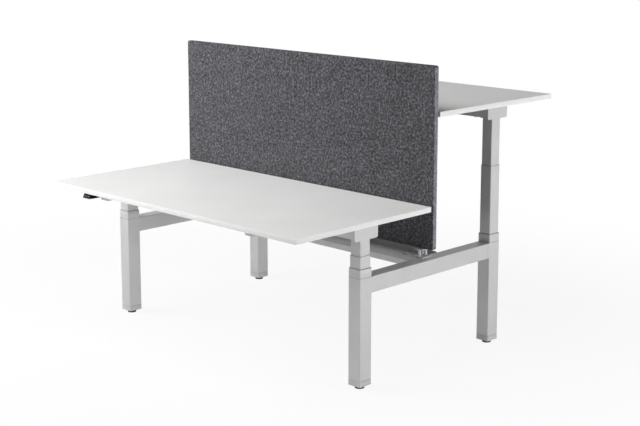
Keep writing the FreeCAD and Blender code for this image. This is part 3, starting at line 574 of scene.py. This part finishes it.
# Handsets. A black ABS housing under the front edge with a key that rocks on a pin; an up and a
# down arrow are printed on its sloping face, on either side of a bar.
def printed_mark(sides, size, pose, turn=0.0):
    """A flat printed shape: a filled circle of a few sides, turned, sized and raised a little."""
    bpy.ops.mesh.primitive_circle_add(vertices=sides, radius=1, fill_type="NGON", rotation=(0, 0, turn))
    piece = bpy.context.object
    bpy.ops.object.transform_apply(location=False, rotation=True, scale=False)
    piece.scale = (size[0], size[1], 1)
    bpy.ops.object.transform_apply(location=False, rotation=False, scale=True)
    bpy.ops.object.mode_set(mode="EDIT")
    raised(piece, size[2], (0, 0, 0))
    piece.matrix_world = pose
    select_only(piece)
    bpy.ops.object.transform_apply(location=True, rotation=True, scale=True)
    return piece


HANDSET_ABS = moulded_plastic("moulded_handset_abs", "#070708", "#0C0C0D", roughness=0.6,
                              values={"Specular IOR Level": 0.12})
PRINT = moulded_plastic("printed_symbol", "#4E4F50", "#5A5B5C", roughness=0.5)
key_face, key_lean, key_rise, print_sink = 10.2 * MM, 10 * MM, 18.8 * MM, 0.3 * MM
arrow_place, arrow_width, arrow_length, arrow_height = 13 * MM, 3.7 * MM, 3.4 * MM, 0.5 * MM
bar_size = (0.5 * MM, 7 * MM, 0.45 * MM)
for desk, side in DESKS.items():
    finish_nodes(HANDSET_ABS, f"{desk}_handset", f"{desk}_handset_paddle")
    low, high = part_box(f"{desk}_handset_paddle")
    slope = Vector((0, -side * key_lean, key_rise)).normalized()
    outward = Vector((0, side * key_rise, key_lean)).normalized()
    across = slope.cross(outward)
    foot = Vector(((low.x + high.x) / 2, low.y if side < 0 else high.y, low.z))
    middle = foot + slope * key_face - outward * print_sink
    turned = Matrix((across, slope, outward)).transposed().to_4x4()
    marks = [printed_mark(3, (arrow_width, -way * arrow_length, arrow_height),
                          Matrix.Translation(middle + across * way * arrow_place) @ turned)
             for way in (-1, 1)]
    marks.append(printed_mark(4, bar_size, Matrix.Translation(middle) @ turned, turn=math.pi / 4))
    finish_piece(f"{desk}_key_symbols", marks, f"{desk}_key", PRINT)


# Screen brackets. A base plate, two posts and a clamp plate at each end, welded and coated; turned
# collars stand round the posts' feet and heads, and zinc-plated screws clamp and hold them.
finish_nodes(COAT, "screen_brackets")
low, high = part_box("screen_brackets")
half_length, plate_sheet, post_row, bolt_place = 24 * MM, 4 * MM, 20 * MM, 17 * MM
head_drop, screw_height, stem_height, knob_low, knob_high = 10 * MM, 2.4 * MM, 14 * MM, 12 * MM, 20 * MM
plate = low.z + plate_sheet
bracket_x = high.x - half_length
foot_collar = turned_ring((0, 0, plate), radius=9.5 * MM, bore=7 * MM, height=4 * MM, edge=1.2 * MM,
                          sides=32)
head_collar = turned_ring((0, 0, high.z - head_drop), radius=9 * MM, bore=7 * MM, height=5 * MM,
                          edge=1 * MM, sides=32)
plate_screw = rod((0, 0, plate), (0, 0, plate + screw_height), radius=4.2 * MM, edge=1 * MM, sides=24)
clamp_stem = rod((0, 0, plate), (0, 0, plate + stem_height), radius=5 * MM, edge=0.6 * MM, sides=24)
clamp_knob = rod((0, 0, plate + knob_low), (0, 0, plate + knob_high), radius=8 * MM, edge=1.5 * MM,
                 sides=32)
posts = [(x, y, 0) for x in (-bracket_x, bracket_x) for y in (-post_row, post_row)]
bolts = [(side * (bracket_x + bolt_place), y, 0) for side in (-1, 1) for y in (-post_row, post_row)]
clamps = [(-bracket_x, 0, 0), (bracket_x, 0, 0)]
collars = copies(foot_collar, posts) + copies(head_collar, posts)
screws = copies(plate_screw, bolts) + copies(clamp_stem, clamps) + copies(clamp_knob, clamps)
finish_piece("bracket_collars", collars, "stand", COAT)
finish_piece("bracket_screws", screws, "stand", STEEL)
for pattern in (foot_collar, head_collar, plate_screw, clamp_stem, clamp_knob):
    bpy.data.objects.remove(pattern)


# Felt screen. A board wrapped in charcoal melange wool felt, soft at its arrises and corners; a strip
# of paler felt along each upright end is painted light, for the ends lit brighter than the faces.
def wool_felt(name, dark, middle, light):
    """Melange felt, pressed from dyed and undyed wool: dark and light tufts a few millimetres
    across, fibres under 1 mm and a soft nap that takes the shine away. The fibres are drawn
    coarser than life, so that they show."""
    tuft_size, fibre_size, cloud_size, nap_size, nap_depth = 11 * MM, 2.6 * MM, 45 * MM, 0.7 * MM, 0.8 * MM
    fibre_share, cloud_share, nap_share = 0.45, 0.07, 0.5
    material, tree, place = new_material(name)
    tuft = add_node(tree, "ShaderNodeTexNoise", {
        "Vector": place, "Scale": 1 / tuft_size, "Detail": 4.0, "Roughness": 0.55})
    upright = add_node(tree, "ShaderNodeMapping", {"Vector": place, "Scale": (1.0, 1.0, 0.5)})
    fibre = add_node(tree, "ShaderNodeTexNoise", {
        "Vector": upright.outputs["Vector"], "Scale": 1 / fibre_size, "Detail": 3.0, "Roughness": 0.55})
    wool = add_node(tree, "ShaderNodeMix", {
        "Factor": fibre_share, "A": tuft.outputs["Fac"], "B": fibre.outputs["Fac"]}, data_type="FLOAT")
    cloud = add_node(tree, "ShaderNodeTexNoise", {
        "Vector": place, "Scale": 1 / cloud_size, "Detail": 2.0, "Roughness": 0.55})
    blend = add_node(tree, "ShaderNodeMix", {
        "Factor": cloud_share, "A": wool.outputs["Result"], "B": cloud.outputs["Fac"]}, data_type="FLOAT")
    tone = add_node(tree, "ShaderNodeValToRGB", {"Fac": blend.outputs["Result"]},
                    [(0.36, dark), (0.5, middle), (0.65, light)])
    brushed = add_node(tree, "ShaderNodeMapping", {"Vector": place, "Scale": (1.0, 1.0, 0.3)})
    nap = add_node(tree, "ShaderNodeTexNoise", {
        "Vector": brushed.outputs["Vector"], "Scale": 1 / nap_size, "Detail": 3.0, "Roughness": 0.55})
    height = add_node(tree, "ShaderNodeMix", {
        "Factor": nap_share, "A": wool.outputs["Result"], "B": nap.outputs["Fac"]}, data_type="FLOAT")
    relief = add_node(tree, "ShaderNodeBump", {"Height": height.outputs["Result"], "Distance": nap_depth})
    shader = add_node(tree, "ShaderNodeBsdfPrincipled", {
        "Base Color": tone.outputs["Color"], "Normal": relief.outputs["Normal"], "Roughness": 0.95,
        "Sheen Weight": 0.12, "Sheen Roughness": 0.6, "Specular IOR Level": 0.15})
    add_node(tree, "ShaderNodeOutputMaterial", {"Surface": shader.outputs["BSDF"]})
    return material


FELT = wool_felt("charcoal_wool_felt", "#0D0C0E", "#4A494D", "#88878E")
# Paler felt for the screen's ends: painted light on the lit ends, not another felt.
LIT_END_FELT = wool_felt("painted_lit_end_felt", "#5C5B62", "#838289", "#ABAAB2")
finish_nodes(FELT, "privacy_screen")
low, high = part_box("privacy_screen")
middle, size = (low + high) / 2, high - low
end_inset, strip_sheet, strip_inset, strip_margin = 1 * MM, 2 * MM, 1.2 * MM, 7 * MM
panel = rounded_sheet(size.x - 2 * end_inset, size.z, radius=9 * MM)
raised(panel, size.y, base=(middle.x, high.y, middle.z), turn=(math.pi / 2, 0, 0))
screen = finish_piece("felt_screen", [eased(panel, 3 * MM, steps=4)], "stand", FELT)
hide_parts("privacy_screen")
# The end strips carry the painted light of the screen's lit upright ends.
for name, end, way in (("left", low.x, -1), ("right", high.x, 1)):
    near, far = sorted((end, end - way * strip_sheet))
    strip = block((near, low.y + strip_inset, low.z + strip_margin),
                  (far, high.y - strip_inset, high.z - strip_margin), edge=0.9 * MM)
    finish_piece(f"screen_end_{name}", [strip], "stand", LIT_END_FELT)


# Floor and background. A plain pale floor that keeps the desk's soft shadow and fades to white
# away from it, under a white background.
def seen_directly(tree):
    """1 for what the camera and glossy or transmitted rays see, 0 for the light on the object."""
    path = add_node(tree, "ShaderNodeLightPath")
    mirrored = add_node(tree, "ShaderNodeMath", {
        0: path.outputs["Is Camera Ray"], 1: path.outputs["Is Glossy Ray"]}, operation="MAXIMUM")
    seen = add_node(tree, "ShaderNodeMath", {
        0: mirrored.outputs[0], 1: path.outputs["Is Transmission Ray"]}, operation="MAXIMUM")
    return seen.outputs[0]


WHITE = (1, 1, 1, 1)
world = bpy.data.worlds.new("studio")
bpy.context.scene.world = world
world.use_nodes = True
tree = world.node_tree
tree.nodes.clear()
around = add_node(tree, "ShaderNodeBackground", {"Color": WHITE, "Strength": 0.04})
shown = add_node(tree, "ShaderNodeBackground", {"Color": WHITE, "Strength": 1.0})
chosen = add_node(tree, "ShaderNodeMixShader", {
    0: seen_directly(tree), 1: around.outputs[0], 2: shown.outputs[0]})
add_node(tree, "ShaderNodeOutputWorld", {"Surface": chosen.outputs[0]})

floor_size, drift_size, shadow_reach, white_reach, shadow_share = 60, 0.5, 1.0, 3.2, 0.9
bpy.ops.mesh.primitive_plane_add(size=floor_size, location=(0, 0, 0))
floor = bpy.context.object
floor.name = "floor"
material, tree, place = new_material("pale_floor")
drift = add_node(tree, "ShaderNodeTexNoise", {
    "Vector": place, "Scale": 1 / drift_size, "Detail": 2.0, "Roughness": 0.55})
tone = add_node(tree, "ShaderNodeValToRGB", {"Fac": drift.outputs["Fac"]},
                [(0.3, "#F4F4F4"), (0.7, "#F8F8F8")])
paint = add_node(tree, "ShaderNodeBsdfPrincipled", {
    "Base Color": tone.outputs["Color"], "Roughness": 0.9, "Specular IOR Level": 0.1})
white = add_node(tree, "ShaderNodeEmission", {"Color": WHITE, "Strength": 1.0})
distance = add_node(tree, "ShaderNodeVectorMath", {0: place}, operation="LENGTH")
fade = add_node(tree, "ShaderNodeMapRange", {
    "Value": distance.outputs["Value"], "From Min": shadow_reach, "From Max": white_reach,
    "To Min": shadow_share, "To Max": 1.0}, interpolation_type="SMOOTHSTEP")
share = add_node(tree, "ShaderNodeMath", {0: seen_directly(tree), 1: fade.outputs["Result"]},
                 operation="MULTIPLY")
chosen = add_node(tree, "ShaderNodeMixShader", {
    0: share.outputs[0], 1: paint.outputs[0], 2: white.outputs[0]})
add_node(tree, "ShaderNodeOutputMaterial", {"Surface": chosen.outputs[0]})
floor.data.materials.append(material)


# Light and camera. Soft boxes to the right, the front left, overhead and behind light the frame,
# the tops and the felt as a studio does, and the camera stands to the right of the front desk.
def soft_box(name, place, aim, size, power):
    data = bpy.data.lights.new(name, "AREA")
    data.shape = "RECTANGLE"
    data.size, data.size_y = size
    data.energy = power
    lamp = bpy.data.objects.new(name, data)
    bpy.context.collection.objects.link(lamp)
    lamp.location = place
    lamp.rotation_euler = (Vector(aim) - Vector(place)).to_track_quat("-Z", "Y").to_euler()


soft_box("key_right", place=(4.2, 0.6, 0.8), aim=(0, 0, 0.7), size=(1.6, 1.2), power=70)
soft_box("front_left", place=(-2.7, -2.8, 2.2), aim=(-0.4, -0.4, 0.7), size=(2.4, 2.0), power=110)
soft_box("overhead", place=(-0.1, -1.8, 3.7), aim=(0.1, -0.4, 0.7), size=(2.4, 2.4), power=70)
soft_box("rear_fill", place=(1.2, 5.2, 1.3), aim=(0, 0.3, 0.7), size=(2.4, 1.6), power=50)

camera_tilt, camera_turn = 10.04, 44.631
data = bpy.data.cameras.new("camera")
camera = bpy.data.objects.new("camera", data)
bpy.context.collection.objects.link(camera)
data.sensor_width = 36
data.lens = 75.77
data.shift_y = -0.1
camera.location = (4.3725, -4.3135, 1.9381)
camera.rotation_euler = (math.radians(90 - camera_tilt), 0, math.radians(camera_turn))
bpy.context.scene.camera = camera
bpy.context.scene.view_settings.view_transform = "Standard"
